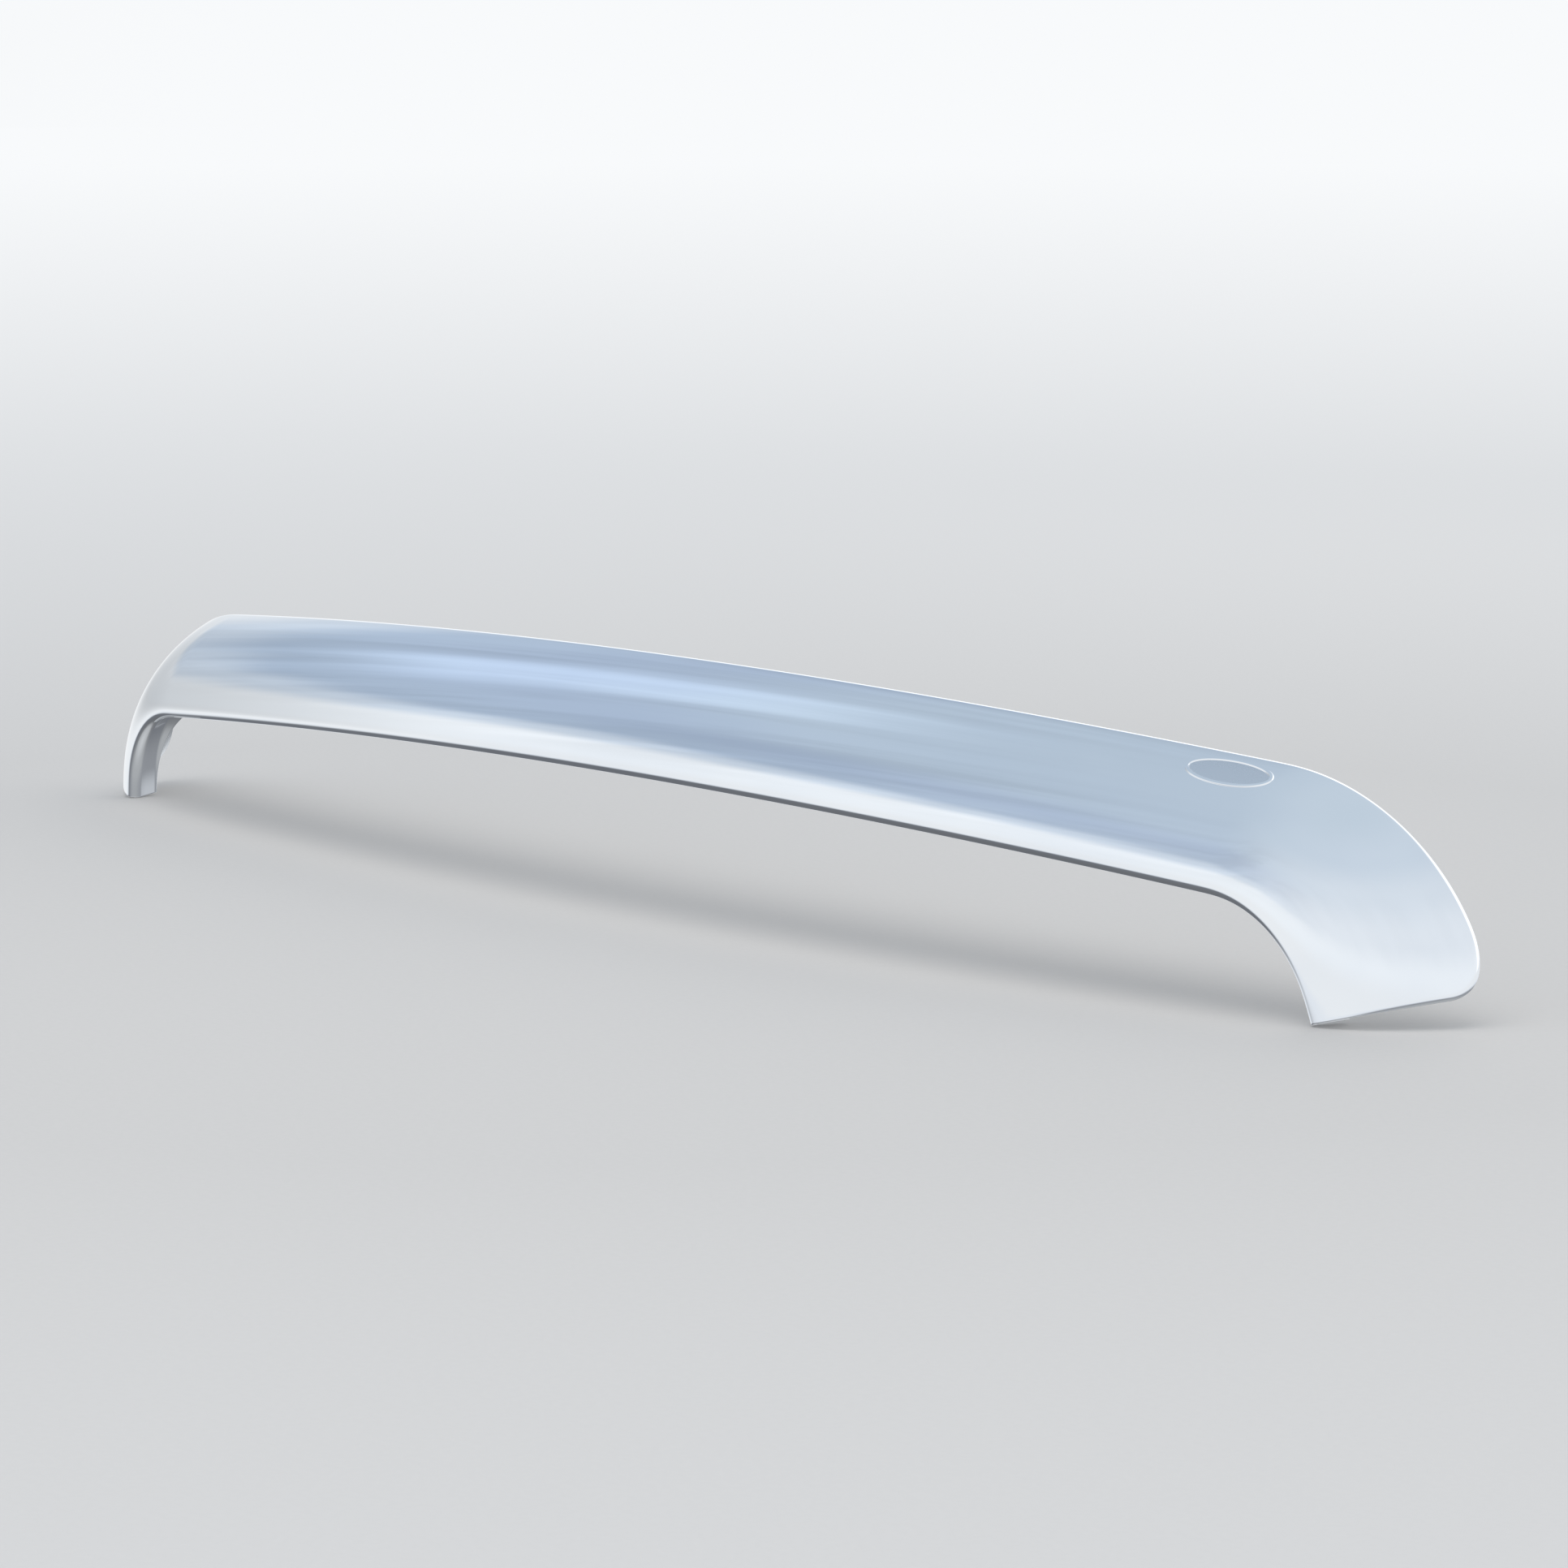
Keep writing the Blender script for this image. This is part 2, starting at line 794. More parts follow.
    def depth(self, s: Array) -> Array:
        """Return the flange's depth, which tapers into the wing.

        Args:
            s: stations.

        Returns:
            The depths.
        """
        run = self.line.half_length - self.flange_taper_start
        share = smooth((np.abs(s) - self.flange_taper_start) / run)
        return self.flange_depth + (self.flange_wing_depth - self.flange_depth) * share

    def fix_point(self, s: Array) -> Array:
        """Return the middle of the boss at each fixing station."""
        height = self.flange_lift + self.wall / 2.0
        return self.place(s, np.full_like(s, self.fix_depth), np.full_like(s, height))

    def fixings(self) -> list[Vector]:
        """Return the middles of the four bosses, from -X to +X."""
        stations = [-s for s in self.fix_stations[::-1]] + list(self.fix_stations)
        return [Vector(p) for p in self.fix_point(np.array(stations))]


# --- Shell ---


@dataclass
class OvalRelief:
    """Plain raised oval rim on the left end of the face."""

    form: ShellForm
    length: float = 0.060
    height: float = 0.022
    rim: float = 0.0024
    proud: float = 0.0008
    flank: float = 0.0006
    foot: float = 0.0002
    foot_depth: float = 0.00001
    root_depth: float = 0.0004
    station: float = 0.484
    share: float = 0.79
    around: int = 192
    across: int = 28
    root_points: int = 4
    rounds: int = 12

    def frame(self) -> tuple[Array, Array, Array, Array]:
        """Return the oval's middle on the face, its long and short directions and its normal.

        Returns:
            The middle and the three unit directions.
        """
        s, share = np.array([self.station]), np.array([self.share])
        ahead = self.form.face_along(s, share)[0]
        ahead /= np.linalg.norm(ahead)
        normal = self.form.face_normal(s, share)[0]
        return self.form.face_point(s, share)[0], ahead, np.cross(normal, ahead), normal

    def inner_field(self) -> Matrix:
        """Return the frame whose unit circle is the rim's inner line.

        Returns:
            The frame.
        """
        centre, ahead, across, normal = self.frame()
        inner = np.array([self.length, self.height]) / 2.0 - self.rim
        turn = Matrix([ahead * inner[0], across * inner[1], normal]).transposed().to_4x4()
        return Matrix.Translation(Vector(centre)) @ turn

    def on_face(self, along: Array, up: Array, height: Array) -> Array:
        """Put points given in the oval's own plane on the curved face.

        Args:
            along: distances along the face from the oval's middle.
            up: distances up it.
            height: heights over the face.

        Returns:
            One row for each point.
        """
        form, nudge, share_nudge = self.form, self.form.nudge, self.form.share_nudge
        s = np.full_like(along, self.station)
        share = np.full_like(along, self.share)
        centre, ahead, across, _ = self.frame()
        for _ in range(self.rounds):
            here = form.face_point(s, share)
            speed = np.linalg.norm(form.face_point(s + nudge, share) - here, axis=1) / nudge
            climb = np.linalg.norm(form.face_point(s, share + share_nudge) - here, axis=1) / share_nudge
            s = s + (along - (here - centre) @ ahead) / speed
            share = share + (up - (here - centre) @ across) / climb
        return form.face_point(s, share) + form.face_normal(s, share) * height[:, None]

    def build(self) -> Piece:
        """Model the rim as a closed bead whose feet run into the face.

        Returns:
            The bead.
        """
        bead = add(bpy.ops.mesh.primitive_torus_add, major_segments=self.around,
                   minor_segments=self.across, major_radius=0.02, minor_radius=0.002)
        turn = np.repeat(np.linspace(0.0, 2.0 * math.pi, self.around, endpoint=False), self.across)
        half = self.rim / 2.0 + self.foot
        width = half * np.sin(np.linspace(-0.5, 0.5, self.across - self.root_points) * math.pi)
        height = self.proud * smooth((half - np.abs(width)) / self.flank) - self.foot_depth
        root = half * np.linspace(1.0, -1.0, self.root_points + 2)[1:-1]
        width = np.tile(np.concatenate([width, root]), self.around)
        height = np.tile(np.concatenate([height, np.full_like(root, -self.root_depth)]), self.around)
        a, b = (self.length - self.rim) / 2.0, (self.height - self.rim) / 2.0
        away = np.stack([b * np.cos(turn), a * np.sin(turn)])
        away /= np.linalg.norm(away, axis=0)
        points = self.on_face(a * np.cos(turn) + width * away[0], b * np.sin(turn) + width * away[1], height)
        bead.data.vertices.foreach_set("co", points.astype(np.float32).ravel())
        bead.data.update()
        face_outwards(bead)
        return bead


@dataclass
class Shell:
    """The plated shell with its return flange, bosses, pad seats and oval relief."""

    form: ShellForm
    relief: OvalRelief
    wing_corner_radius: float = 0.025
    straight_end: float = 0.46
    straight_columns: int = 60
    corner_columns: int = 70
    flange_rows: tuple[float, ...] = (0.0, 0.25, 0.5, 0.75, 0.95)
    bend_weights: Triple = (0.94, 0.03, 0.03)
    ramp_rows: Triple = (0.08, 0.35, 0.7)
    roll_rows: int = 18
    face_rows: int = 38
    face_crowding: float = 1.4
    rim_steps: tuple[float, ...] = (0.0, 0.036, 0.064, 0.092, 0.12, 0.152, 0.19, 0.24, 0.30, 0.37, 0.44,
                                    0.52, 0.60, 0.68, 0.76, 0.84, 0.92, 1.0)
    edge_radius: float = 0.0050
    edge_width: float = 0.0036
    edge_rounding: float = 0.0007
    edge_segments: int = 4
    inner_rounding: float = 0.25
    sharp_cosine: float = 0.5
    boss_width: float = 0.026
    boss_length: float = 0.030
    boss_rounding: float = 0.0007
    slot_width: float = 0.0064
    slot_length: float = 0.0094
    slot_sides: int = 48
    seat_size: float = 0.013
    seat_rounding: float = 0.0004
    embed: float = 0.001

    def stations(self) -> Array:
        """Return the columns' stations, closer in the corners and closest at the wing's ends.

        Returns:
            The stations from -X to +X.
        """
        end = self.form.line.half_length
        corner = end - self.wing_corner_radius
        rim = end - self.wing_corner_radius * np.array(self.rim_steps[::-1])
        half = np.concatenate([np.linspace(0.0, self.straight_end, self.straight_columns)[:-1],
                               np.linspace(self.straight_end, corner, self.corner_columns)[:-1], rim])
        return np.concatenate([-half[:0:-1], half])

    def face_row(self, s: Array, below: Array) -> Array:
        """Return one row of the face, bent round the wing's rear corner and let in along the rim.

        Args:
            s: the columns' stations.
            below: distances below the upper edge.

        Returns:
            One point for each column.
        """
        radius = self.wing_corner_radius
        start = self.form.line.half_length - radius
        past = np.maximum(np.abs(s) - start, 0.0) / radius
        up = np.maximum(1.0 - below / radius, 0.0)
        # Square rings round the corner become round ones.
        bend = np.maximum(past, up) / np.maximum(np.hypot(past, up), 1e-9)
        s = np.where(past > 0.0, np.sign(s) * (start + radius * past * bend), s)
        below = np.where(up > 0.0, radius * (1.0 - up * bend), below)
        share = self.form.share_below_edge(s, below)
        length = self.form.lengths(s)[:, -1]
        over = np.maximum(self.edge_width - radius * (1.0 - np.maximum(past, up)), 0.0)
        drop = self.edge_radius - np.sqrt(self.edge_radius ** 2 - over ** 2)
        drop *= 1.0 - smooth((below - radius) / (length - radius))
        return self.form.face_point(s, share) - self.form.face_normal(s, share) * drop[:, None]

    def columns(self) -> Array:
        """Return the outer skin's points.

        Returns:
            The points by column, and in each of them from the flange's edge to the top.
        """
        form = self.form
        s = self.stations()
        depth, bend = form.depth(s), form.ramp_top(s)
        lift = np.full_like(s, form.flange_lift)
        rows = [form.place(s, depth + (bend - depth) * t, lift) for t in self.flange_rows]
        start = form.rolled(s, np.zeros_like(s))
        corner = form.place(s, bend, lift)
        a, b, c = self.bend_weights
        rows.append(corner * a + rows[-1] * b + start * c)
        rows += [corner + (start - corner) * t for t in self.ramp_rows]
        rows += [form.rolled(s, np.full_like(s, t)) for t in np.linspace(0.0, 1.0, self.roll_rows)]
        length = form.lengths(s)[:, -1]
        low = length - self.wing_corner_radius
        rows += [self.face_row(s, length - low * t ** self.face_crowding)
                 for t in np.linspace(0.0, 1.0, self.face_rows)[1:]]
        rim = self.wing_corner_radius * np.array(self.rim_steps)
        rows += [self.face_row(s, np.full_like(s, below)) for below in rim[-2::-1]]
        return np.stack(rows, axis=1)

    def skin(self, *finishes: Material) -> Piece:
        """Model the outer skin from a grid and give it its wall and rounded rims.

        Args:
            finishes: those of the show side and of the hidden side.

        Returns:
            The shell without its bosses and relief.
        """
        points = self.columns()
        across, up = points.shape[:2]
        skin = add(bpy.ops.mesh.primitive_grid_add, x_subdivisions=across - 1, y_subdivisions=up - 1)
        # The grid's vertices are numbered across the columns, row after row.
        skin.data.vertices.foreach_set("co", points.transpose(1, 0, 2).astype(np.float32).ravel())
        skin.data.update()
        if skin.data.polygons[0].normal.z > 0.0:
            skin.data.flip_normals()
        coat(skin, *finishes)
        apply_modifier(skin, "SOLIDIFY", thickness=self.form.wall, offset=-1.0, use_even_offset=True,
                       use_quality_normals=True, material_offset=1)
        self.weigh_rims(skin)
        apply_modifier(skin, "BEVEL", width=self.edge_rounding, segments=self.edge_segments,
                       limit_method="WEIGHT", offset_type="OFFSET", use_clamp_overlap=False)
        return skin

    def weigh_rims(self, skin: Piece) -> None:
        """Mark the rims for rounding, wide on the show side and narrow on the hidden one.

        Args:
            skin: the shell with its wall, its hidden side in the second finish.
        """
        faces_of: dict[tuple[int, int], list[Face]] = {}
        for face in skin.data.polygons:
            for key in face.edge_keys:
                faces_of.setdefault(key, []).append(face)
        weights = skin.data.attributes.new("bevel_weight_edge", "FLOAT", "EDGE")
        for edge in skin.data.edges:
            first, second = faces_of[edge.key]
            if first.normal.dot(second.normal) < self.sharp_cosine:
                hidden = 1 in (first.material_index, second.material_index)
                weights.data[edge.index].value = self.inner_rounding if hidden else 1.0

    def blocks(self, seat_proud: float, seats: list[Matrix]) -> Iterator[Piece]:
        """Model the four flange bosses and the flat seats under the rubber pads.

        Args:
            seat_proud: height of the seats over the hidden side.
            seats: place of each seat's top, with Z from the face towards the hood.

        Returns:
            The bosses and then the seats.
        """
        for middle in self.form.fixings():
            block = box((self.boss_width, self.boss_length, self.form.boss_height), middle)
            round_edges(block, self.boss_rounding, 3)
            yield block
        height = seat_proud + self.embed
        for place in seats:
            block = box((self.seat_size, self.seat_size, height), (0.0, 0.0, -height / 2.0))
            round_edges(block, self.seat_rounding, 2)
            block.matrix_world = place
            yield settle(block)

    def slot_cutters(self) -> Iterator[Piece]:
        """Model what cuts the four fixing slots, each a cylinder pulled apart into a slot.

        Returns:
            The cutters.
        """
        reach = (self.slot_length - self.slot_width) / 2.0
        for middle in self.form.fixings():
            cutter = cylinder(self.slot_width / 2.0, 3.0 * self.form.boss_height, 0.0, self.slot_sides)
            for point in cutter.data.vertices:
                point.co.x += math.copysign(reach, point.co.x)
            cutter.location = middle
            yield settle(cutter)

    def build(self, seat_proud: float, seats: list[Matrix], plating: Material, inside: Material) -> None:
        """Build and dress the shell.

        Args:
            seat_proud: height of the pads' seats over the hidden side.
            seats: places of the pads' seats.
            plating: finish of the show side.
            inside: finish of the hidden side.
        """
        shell = self.skin(plating, inside)
        shell.name = shell.data.name = "plated_shell"
        log.info("the skin has %d faces", len(shell.data.polygons))
        extra = join(*self.blocks(seat_proud, seats))
        coat(extra, plating, inside)
        for face in extra.data.polygons:
            face.material_index = 1
        cut_with(shell, extra, "UNION")
        cut_with(shell, join(*self.slot_cutters()), "DIFFERENCE")
        bead = self.relief.build()
        coat(bead, plating)
        dress(join(shell, bead), "shield", Slot.CHROME, 35.0)


# --- Fixings ---


@dataclass
class PanScrew:
    """M5 screw with a domed pan head, a cross recess and a rolled thread, upright on Z 0."""

    radius: float = 0.0025
    length: float = 0.016
    head_radius: float = 0.006
    head_height: float = 0.0026
    head_sides: int = 64
    dome: float = 0.0013
    rim_rounding: float = 0.0002
    recess_length: float = 0.006
    recess_width: float = 0.0011
    recess_depth: float = 0.0015
    recess_taper: float = 0.55
    well_radii: Pair = (0.0014, 0.0006)
    well_sides: int = 32
    pitch: float = 0.0008
    thread_depth: float = 0.0004
    crest_trim: float = 0.00003
    crest_shares: Pair = (0.42, 0.58)
    thread_end: float = 0.0016
    thread_steps: int = 32
    tip_chamfer: float = 0.0005
    tip_sides: int = 48

    def head(self) -> Piece:
        """Model the head below Z 0, with its recess in the underside.

        Returns:
            The head.
        """
        head = cylinder(self.head_radius, self.head_height, -self.head_height / 2.0, self.head_sides)
        with editing(head, lambda face: face.normal.z < -0.9):
            bpy.ops.mesh.bevel(offset=self.dome, segments=6, affect="EDGES")
        with editing(head, looks_up):
            bpy.ops.mesh.bevel(offset=self.rim_rounding, segments=2, affect="EDGES")
        middle = (0.0, 0.0, -self.head_height)
        depth = 2.0 * self.recess_depth
        bars = [box((self.recess_length, self.recess_width, depth), middle),
                box((self.recess_width, self.recess_length, depth), middle)]
        for bar in bars:
            with editing(bar, looks_up):
                bpy.ops.transform.resize(value=(self.recess_taper, self.recess_taper, 1.0))
        well = settle(add(bpy.ops.mesh.primitive_cone_add, vertices=self.well_sides, depth=depth,
                          radius1=self.well_radii[0], radius2=self.well_radii[1], location=middle))
        cut_with(head, join(*bars, well), "DIFFERENCE", crossing=True)
        return head

    def shank(self) -> Piece:
        """Model the threaded shank by turning one thread's profile along a helix.

        Returns:
            The shank.
        """
        root = self.radius - self.thread_depth
        crest = self.radius - self.crest_trim
        profile = add(bpy.ops.mesh.primitive_plane_add, size=0.001)
        with editing(profile, lambda face: True):
            bpy.ops.mesh.delete(type="ONLY_FACE")
        low, high = self.crest_shares
        points = profile.data.vertices
        for point, (x, share) in zip(points, ((root, 0.0), (crest, low), (root, 1.0), (crest, high))):
            point.co = (x, 0.0, share * self.pitch)
        with editing(profile, lambda edge: {round(points[i].co.z / self.pitch, 2)
                                            for i in edge.vertices} == {0.0, 1.0}, edges=True):
            bpy.ops.mesh.delete(type="EDGE")
        turns = int((self.length - self.thread_end) / self.pitch)
        apply_modifier(profile, "SCREW", screw_offset=self.pitch, iterations=turns, steps=self.thread_steps,
                       render_steps=self.thread_steps, use_merge_vertices=True, merge_threshold=1e-6)
        face_outwards(profile, cap=True)
        tip = cylinder(root, self.length, self.length / 2.0, self.tip_sides)
        with editing(tip, looks_up):
            bpy.ops.mesh.bevel(offset=self.tip_chamfer, segments=2, affect="EDGES")
        return join(profile, tip)

    def build(self) -> Piece:
        """Return one screw."""
        head = self.head()
        return join(head, self.shank())


@dataclass
class NylonWasher:
    """Flat washer with rounded rims, from Z 0 up."""

    radius: float = 0.008
    bore: float = 0.0027
    thickness: float = 0.0012
    rounding: float = 0.00028
    sides: int = 72

    def build(self) -> Piece:
        """Model one washer.

        Returns:
            The washer.
        """
        ring = cylinder(self.radius, self.thickness, self.thickness / 2.0, self.sides)
        with editing(ring, lambda face: abs(face.normal.z) > 0.9):
            bpy.ops.mesh.inset(thickness=self.radius - self.bore)
            bpy.ops.mesh.bridge_edge_loops()
        face_outwards(ring)
        round_edges(ring, self.rounding, 3)
        return ring


@dataclass
class ClipNut:
    """Folded spring-steel clip with a nut barrel, from Z 0 up, open towards the front."""

    width: float = 0.016
    length: float = 0.020
    thick: float = 0.001
    gap: float = 0.0032
    lead: float = 0.003
    hole: float = 0.0064
    barrel_radius: float = 0.0042
    barrel_height: float = 0.0034
    barrel_bore: float = 0.00255
    barrel_sides: int = 56
    bore_sides: int = 48
    fold_steps: int = 14
    rounding: float = 0.00022
    rounded_angle: float = 50.0

    def strip(self) -> Piece:
        """Fold the strip: lower leg, half turn at the rear, upper leg and flared lead.

        Returns:
            The strip.
        """
        leg = box((self.width, self.length, self.thick), (0.0, 0.0, self.thick / 2.0))
        fold = (0.0, self.length / 2.0, self.thick + self.gap / 2.0)
        with editing(leg, lambda face: face.normal.y > 0.9):
            bpy.ops.mesh.spin(steps=self.fold_steps, angle=-math.pi, center=fold, axis=(1.0, 0.0, 0.0))
            for move in ((0.0, -self.length, 0.0), (0.0, -self.lead, self.lead / 2.0)):
                bpy.ops.mesh.extrude_region_move(TRANSFORM_OT_translate={"value": move})
        face_outwards(leg)
        return leg

    def build(self) -> Piece:
        """Model one clip nut.

        Returns:
            The clip nut.
        """
        clip = self.strip()
        top = 2.0 * self.thick + self.gap
        cut_with(clip, box((self.hole, self.hole, 3.0 * self.thick)), "DIFFERENCE")
        barrel = cylinder(self.barrel_radius, self.barrel_height + self.thick / 2.0,
                          top + self.barrel_height / 2.0 - self.thick / 4.0, self.barrel_sides)
        cut_with(clip, barrel, "UNION")
        bore = cylinder(self.barrel_bore, 3.0 * self.barrel_height, top + self.barrel_height,
                        self.bore_sides)
        cut_with(clip, bore, "DIFFERENCE")
        round_edges(clip, self.rounding, 2, self.rounded_angle)
        return clip


@dataclass
class Fixings:
    """Four screws, washers and clip nuts on the flange's bosses."""

    form: ShellForm
    screw: PanScrew = field(default_factory=PanScrew)
    washer: NylonWasher = field(default_factory=NylonWasher)
    clip: ClipNut = field(default_factory=ClipNut)
    screw_turns: Pair = (23.0, 71.0)

    def places(self, height: float, first: float = 0.0, step: float = 0.0) -> list[Matrix]:
        """Return a place at each boss.

        Args:
            height: height over the boss's middle.
            first: turn about Z before the first step, in degrees.
            step: further turn from one boss to the next.

        Returns:
            The places from -X to +X.
        """
        return [Matrix.Translation(middle + Vector((0.0, 0.0, height)))
                @ Matrix.Rotation(math.radians(first + step * number), 4, "Z")
                for number, middle in enumerate(self.form.fixings(), 1)]

    def build(self, zinc: Material, nylon: Material, phosphate: Material) -> None:
        """Model each kind once and copy it to the four bosses.

        Args:
            zinc: finish of the screws.
            nylon: finish of the washers.
            phosphate: finish of the clip nuts.
        """
        top = self.form.boss_height / 2.0
        under = -top - self.washer.thickness
        dress_copies(self.screw.build(), "pan_screw", "screw", zinc, Slot.STEEL,
                     self.places(under, *self.screw_turns))
        dress_copies(self.washer.build(), "nylon_washer", "washer", nylon, Slot.NYLON, self.places(under))
        dress_copies(self.clip.build(), "spring_clip", "clip_nut", phosphate, Slot.CLIP, self.places(top))


@dataclass
class RubberPads:
    """Six tapered rubber pads on flat seats behind the upper edge."""

    form: ShellForm
    stations: Pair = (0.120, 0.360)
    wing_inset: float = 0.038
    share: float = 0.72
    seat_proud: float = 0.0012
    size: float = 0.012
    top: float = 0.009
    height: float = 0.004
    rounding: float = 0.0008
    rounded_angle: float = 30.0
    dish_margin: float = 0.0011
    dish_slope: float = 0.0004
    dish_depth: float = 0.0004

    def frames(self) -> list[Matrix]:
        """Find the places of the seats' tops, with Z towards the hood.

        Returns:
            The places from -X to +X.
        """
        half = [*self.stations, self.form.line.half_length - self.wing_inset]
        places = []
        for s in [-one for one in half[::-1]] + half:
            at, share = np.array([s]), np.array([self.share])
            here = self.form.face_point(at, share)[0]
            inward = -Vector(self.form.face_normal(at, share)[0])
            ahead = Vector(self.form.face_point(at + self.form.nudge, share)[0] - here)
            ahead = (ahead - inward * ahead.dot(inward)).normalized()
            turn = Matrix((ahead, inward.cross(ahead), inward)).transposed().to_4x4()
            top = Vector(here) + inward * (self.form.wall + self.seat_proud)
            places.append(Matrix.Translation(top) @ turn)
        return places

    def model(self) -> Piece:
        """Model one pad from Z 0 up, tapered, rounded and with a shallow dish in its top.

        Returns:
            The pad.
        """
        pad = box((self.size, self.size, self.height), (0.0, 0.0, self.height / 2.0))
        taper = self.top / self.size
        with editing(pad, looks_up):
            bpy.ops.transform.resize(value=(taper, taper, 1.0))
        round_edges(pad, self.rounding, 4, self.rounded_angle)
        with editing(pad, lambda face: face.normal.z > 0.99 and face.area > 1e-5):
            bpy.ops.mesh.inset(thickness=self.dish_margin)
            bpy.ops.mesh.inset(thickness=self.dish_slope)
            bpy.ops.transform.translate(value=(0.0, 0.0, -self.dish_depth))
        return pad

    def build(self, rubber: Material) -> None:
        """Copy the pad to its six seats in a finish of rubber."""
        dress_copies(self.model(), "rubber_pad", "bumper_pad", rubber, Slot.RUBBER, self.frames())


# --- Studio ---


HORIZON = ((-9.0, (0.94, 0.955, 0.97)), (2.0, (0.94, 0.955, 0.97)))
SKY_AHEAD = ((-90.0, (0.62, 0.63, 0.64)), (-66.0, (0.52, 0.53, 0.54)), (-50.0, (0.15, 0.155, 0.165)),
             (-28.0, (0.17, 0.18, 0.20)), (-14.0, (0.88, 0.91, 0.95)), *HORIZON,
             (12.0, (0.97, 1.00, 1.03)), (19.0, (0.97, 1.00, 1.03)), (24.0, (0.68, 0.76, 0.86)),
             (29.0, (0.45, 0.545, 0.68)), (35.0, (0.425, 0.515, 0.655)), (45.0, (0.485, 0.58, 0.69)),
             (60.0, (0.55, 0.645, 0.745)), (90.0, (0.60, 0.69, 0.78)))
SKY_LEFT = ((-90.0, (0.62, 0.63, 0.64)), (-50.0, (0.44, 0.45, 0.46)), (-28.0, (0.33, 0.34, 0.36)),
            (-14.0, (0.88, 0.91, 0.95)), *HORIZON,
            (14.0, (0.97, 1.00, 1.03)), (26.0, (0.86, 0.90, 0.95)), (45.0, (0.76, 0.82, 0.89)),
            (62.0, (0.66, 0.74, 0.83)), (90.0, (0.60, 0.69, 0.78)))
GLOW = ((-90.0, (1.30, 1.32, 1.34)), (90.0, (1.30, 1.32, 1.34)))


@dataclass(frozen=True)
class Surroundings:
    """The sky that the plating reflects: bright low down, blue-grey above, streaks along the face.

    Towards +X, where the photograph's wing looks, it is hazier and paler, and behind the shield
    it glows. A band, over the elevation in radians or over a part of the direction, is given as
    start, full, fade and end. A slope is given as start, end and the values there, a gain as
    factor and offset.
    """

    band: Four = (0.15, 0.45, 0.72, 0.98)
    ripple: Pattern = Pattern(1.7, 4.0, stretch=(1.0, 3.0, 1.0))
    ripple_gain: Pair = (0.16, -0.08)
    far_lift: Four = (-0.94, -0.76, 0.07, 0.0)
    left_slope: Four = (-0.85, 0.45, 0.0, 1.0)
    glow_slope: Four = (0.42, 0.62, 0.0, 1.0)
    glow_band: Four = (0.04, 0.10, 0.70, 1.00)
    streaks: Pattern = Pattern(2.2, 5.0, stretch=(1.0, 4.0, 1.0))
    streak_slope: Four = (0.36, 0.64, -0.08, 0.08)
    left_calm: Pair = (-0.9, 1.0)
    cloud_x: Four = (-0.90, -0.84, -0.80, -0.58)
    cloud_y: Four = (-0.14, 0.0, 0.06, 0.20)
    cloud_gain: float = 0.42
    shade_slope: Four = (-1.0, -0.82, -0.36, 0.0)
    shade_band: Four = (-0.02, 0.14, 0.30, 0.60)

    def build(self) -> None:
        """Make them the scene's world."""
        world = bpy.data.worlds.new("studio_surroundings")
        bpy.context.scene.world = world
        world.use_nodes = True
        bench = Bench(world.node_tree, "Generated")
        x, y, z = bench.wire("SeparateXYZ", 0, {0: bench.coordinates}).node.outputs
        height = bench.math("ARCSINE", z)
        band = bench.window(height, *self.band)
        ripple = bench.math("MULTIPLY_ADD", bench.noise(self.ripple), *self.ripple_gain)
        height = bench.math("MULTIPLY_ADD", ripple, band, height)
        height = bench.math("ADD", height, bench.levels(x, *self.far_lift))
        left = bench.levels(x, *self.left_slope)
        sky = bench.blend(left, bench.ramp(height, SKY_AHEAD), bench.ramp(height, SKY_LEFT))
        behind = bench.math("MULTIPLY", bench.levels(y, *self.glow_slope),
                            bench.window(height, *self.glow_band))
        sky = bench.blend(behind, sky, bench.ramp(height, GLOW))
        streaks = bench.levels(bench.noise(self.streaks), *self.streak_slope)
        streaks = bench.math("MULTIPLY", streaks, bench.math("MULTIPLY_ADD", left, *self.left_calm))
        cloud = bench.math("MULTIPLY", bench.window(x, *self.cloud_x), bench.window(y, *self.cloud_y))
        streaks = bench.math("MULTIPLY_ADD", cloud, self.cloud_gain, streaks)
        shade = bench.math("MULTIPLY_ADD", bench.levels(x, *self.shade_slope),
                           bench.window(height, *self.shade_band), 1.0)
        background = world.node_tree.nodes["Background"].inputs
        bench.feed(background["Color"], sky)
        bench.feed(background["Strength"], bench.math("MULTIPLY_ADD", streaks, band, shade))


def aim(place: Triple, target: Triple) -> Euler:
    """Return the turn that points a light or a camera from its place to a target."""
    return (Vector(target) - Vector(place)).to_track_quat("-Z", "Y").to_euler()


@dataclass(frozen=True)
class SoftLight:
    """Square light aimed at the origin, unseen in the plating."""

    name: str
    place: Triple
    size: float
    power: float
    colour: Triple = (1.0, 0.95, 0.89)

    def hang(self) -> None:
        """Add the light."""
        lamp = add(bpy.ops.object.light_add, type="AREA", location=self.place)
        lamp.name = self.name
        lamp.data.size = self.size
        lamp.data.energy = self.power
        lamp.data.color = self.colour
        lamp.rotation_euler = aim(self.place, (0.0, 0.0, 0.0))
        lamp.visible_glossy = False


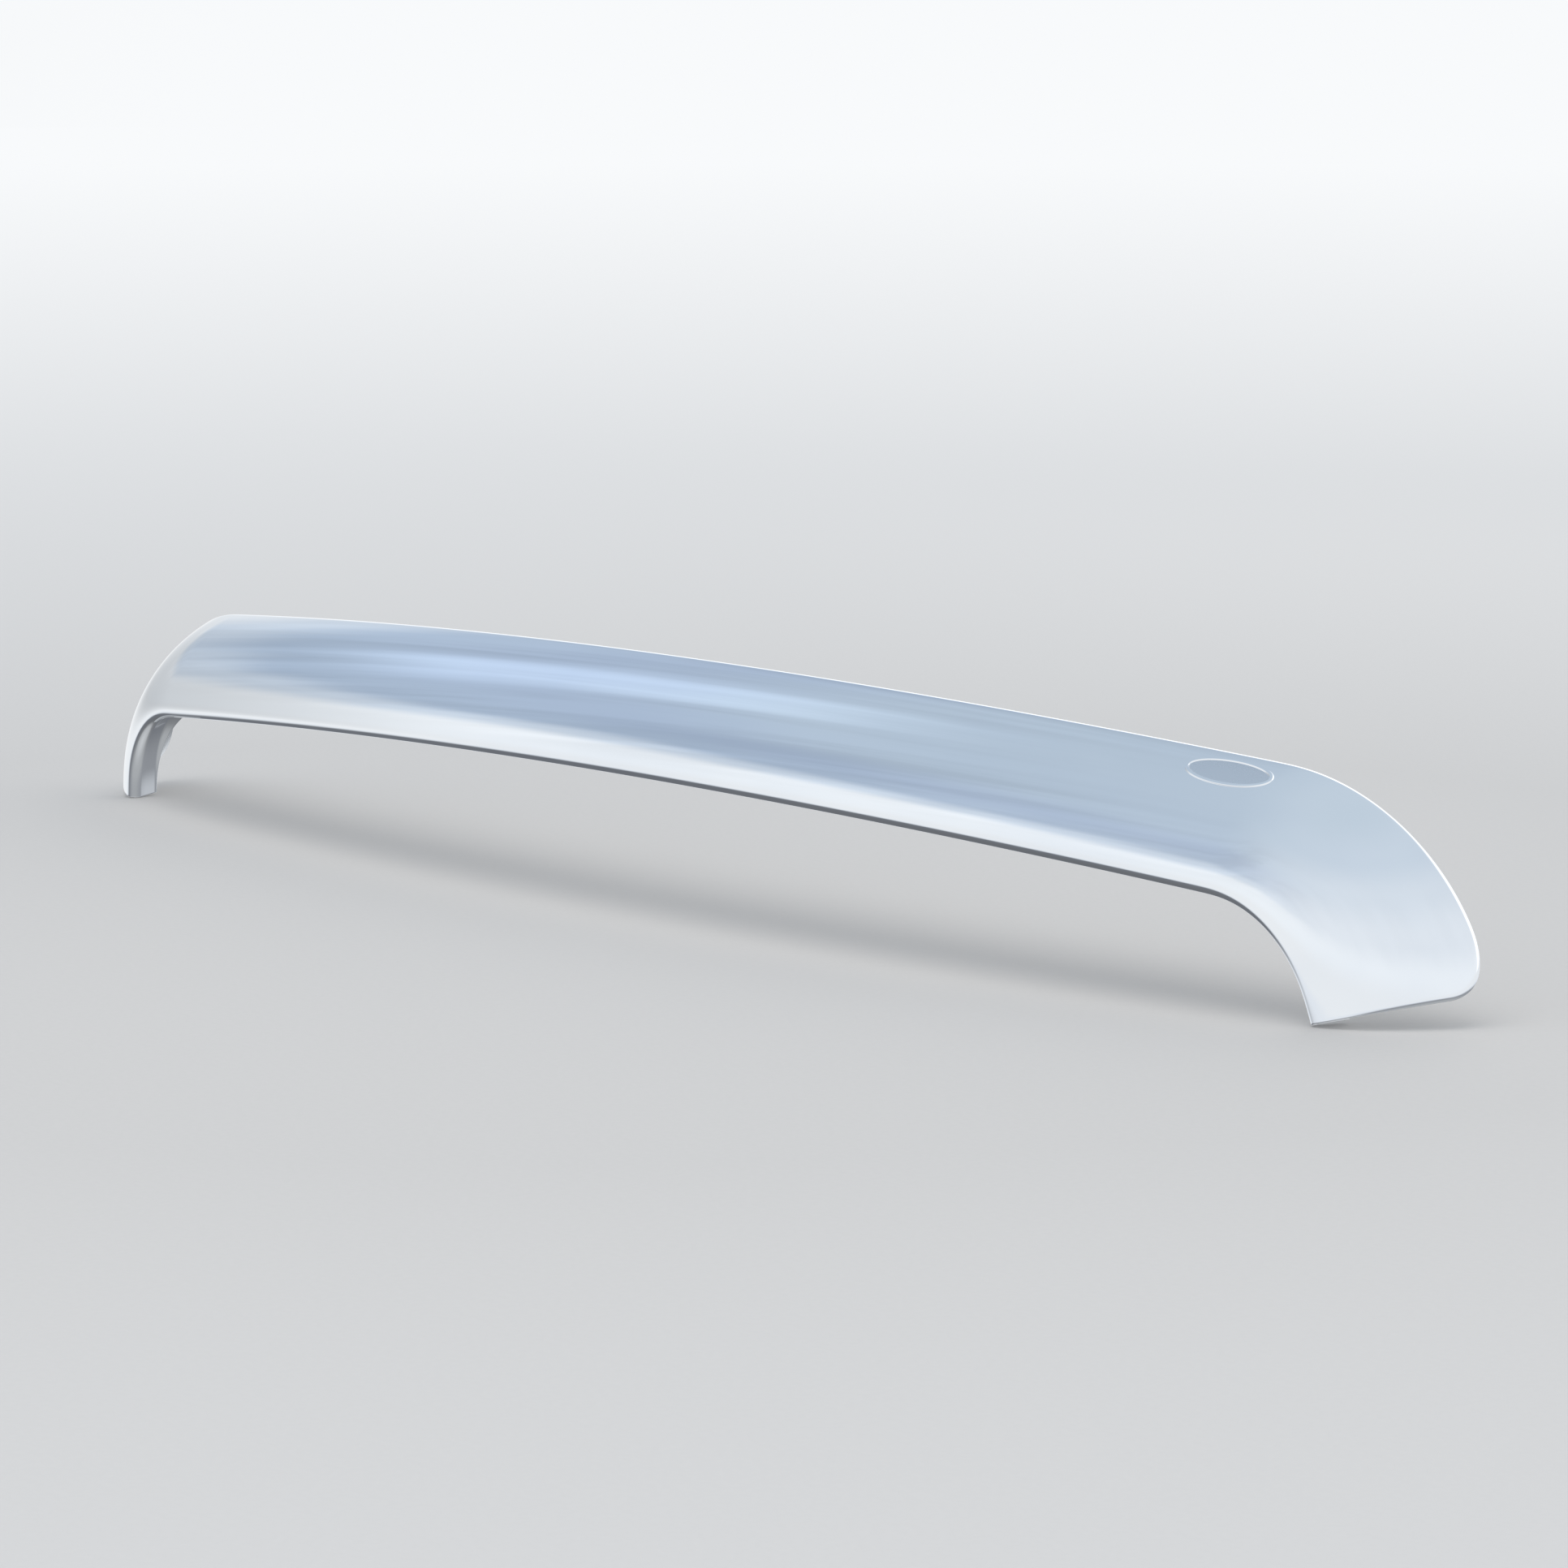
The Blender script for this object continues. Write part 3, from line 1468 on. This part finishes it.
@dataclass
class Studio:
    """Pale floor, one large soft light above, a weak one behind, surroundings and camera."""

    floor_z: float
    floor_size: float = 60.0
    floor_gap: float = 0.0002
    lights: tuple[SoftLight, ...] = (SoftLight("overhead", (0.3, -0.5, 2.6), 2.4, 34.0),
                                     SoftLight("rear_fill", (-1.0, 2.2, 1.6), 1.8, 6.0))
    camera_place: Triple = (2.6258, -2.0094, 0.4218)
    camera_aim: Triple = (0.10, 0.045, -0.012)
    lens: float = 126.0
    sensor_width: float = 36.0
    clip_end: float = 200.0

    def floor(self) -> None:
        """Lay the floor at the object's lowest point."""
        floor = add(bpy.ops.mesh.primitive_plane_add, size=self.floor_size,
                    location=(0.0, 0.0, self.floor_z - self.floor_gap))
        floor.name = "studio_floor"
        coat(floor, StageFinish().make())
        floor.visible_glossy = False
        floor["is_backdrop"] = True

    def camera(self) -> None:
        """Set the camera where the photograph was taken from, aimed at the shield."""
        camera = add(bpy.ops.object.camera_add, location=self.camera_place)
        camera.rotation_euler = aim(self.camera_place, self.camera_aim)
        camera.data.lens = self.lens
        camera.data.sensor_width = self.sensor_width
        camera.data.clip_end = self.clip_end
        bpy.context.scene.camera = camera

    def build(self) -> None:
        """Build the whole studio."""
        self.floor()
        Surroundings().build()
        for light in self.lights:
            light.hang()
        self.camera()
        bpy.context.scene.view_settings.view_transform = "Standard"
        log.info("studio is set, floor at %.4f m", self.floor_z)


def main() -> None:
    """Build every sub-assembly in order."""
    logging.basicConfig(level=logging.INFO, format="%(relativeCreated)7d ms  %(message)s")
    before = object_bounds()
    form = ShellForm()
    log.info("origin in the lip frame %s", form.origin)
    pads = RubberPads(form)
    relief = OvalRelief(form)
    plating = MirrorPlating(relief.inner_field()).make()
    Shell(form, relief).build(pads.seat_proud, pads.frames(), plating, SATIN_PLATING.make())
    Fixings(form).build(ZINC.make(), BLACK_NYLON.make(), PHOSPHATE.make())
    pads.build(SOFT_RUBBER.make())
    Studio(before[0].z).build()
    deselect_all()


if __name__ == "__main__":
    main()
